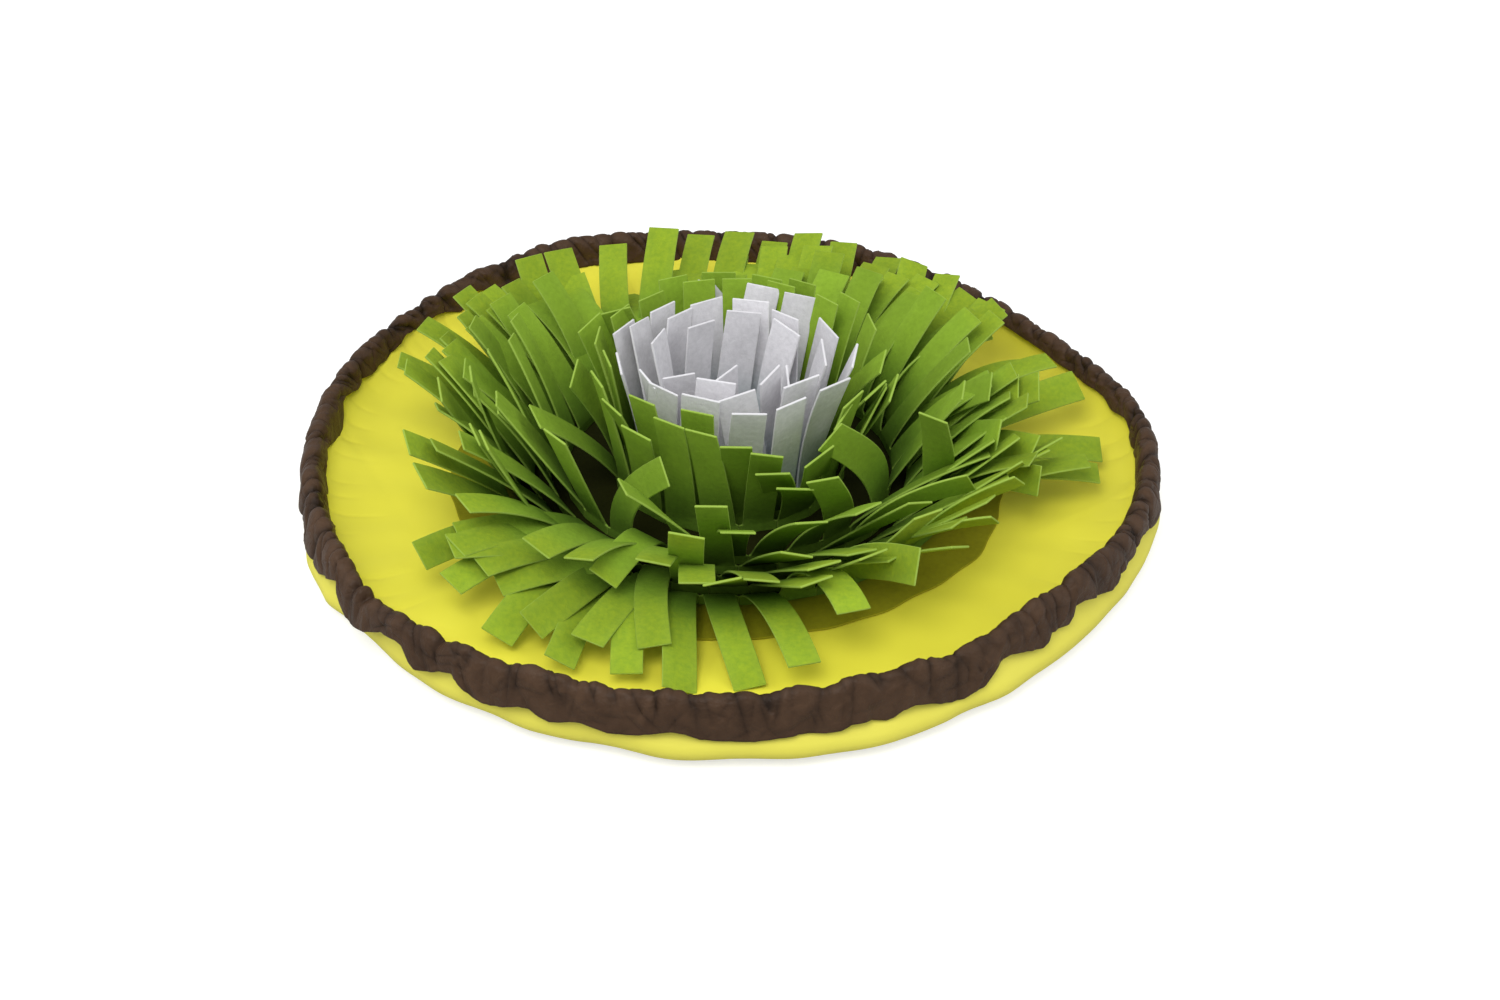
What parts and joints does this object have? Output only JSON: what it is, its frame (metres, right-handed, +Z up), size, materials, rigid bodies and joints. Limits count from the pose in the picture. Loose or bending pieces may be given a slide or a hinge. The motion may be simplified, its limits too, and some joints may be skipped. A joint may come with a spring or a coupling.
{
  "type": "snuffle bowl",
  "caption": "Round padded snuffle bowl with a gathered cloth rim and rings of fringed felt round an open rosette cup, for hiding dry treats.",
  "frame": {"origin": "centre of the underside, on the surface that the bowl rests on", "axes": "+Z up along the bowl's axis, -Y towards the front of the pictured side, +X to its right"},
  "size_m": [0.5128, 0.5181, 0.1079],
  "materials": {
    "yellow_cloth": "thin woven polyester with a soft sheen",
    "brown_cloth": "thin coated polyester, puckered, slightly shiny",
    "backing_cloth": "matt felt",
    "green_felt": "matt needle felt",
    "white_felt": "matt needle felt",
    "wadding": "loose fibre, matt",
    "elastic": "covered elastic cord, matt"
  },
  "bodies": {
    "root": {"base_cover": "yellow_cloth", "wadding": "wadding", "top_cover": "yellow_cloth", "rim_elastic": "elastic", "rim_casing": "brown_cloth", "fringe_backing": "backing_cloth", "white_fringe_inner": "white_felt", "white_fringe_middle": "white_felt", "white_fringe_outer": "white_felt", "green_collar_inner": "green_felt", "green_collar_outer": "green_felt", "green_skirt_first": "green_felt", "green_skirt_second": "green_felt", "green_skirt_third": "green_felt", "green_skirt_fourth": "green_felt", "green_skirt_outermost": "green_felt"}
  },
  "joints": []
}
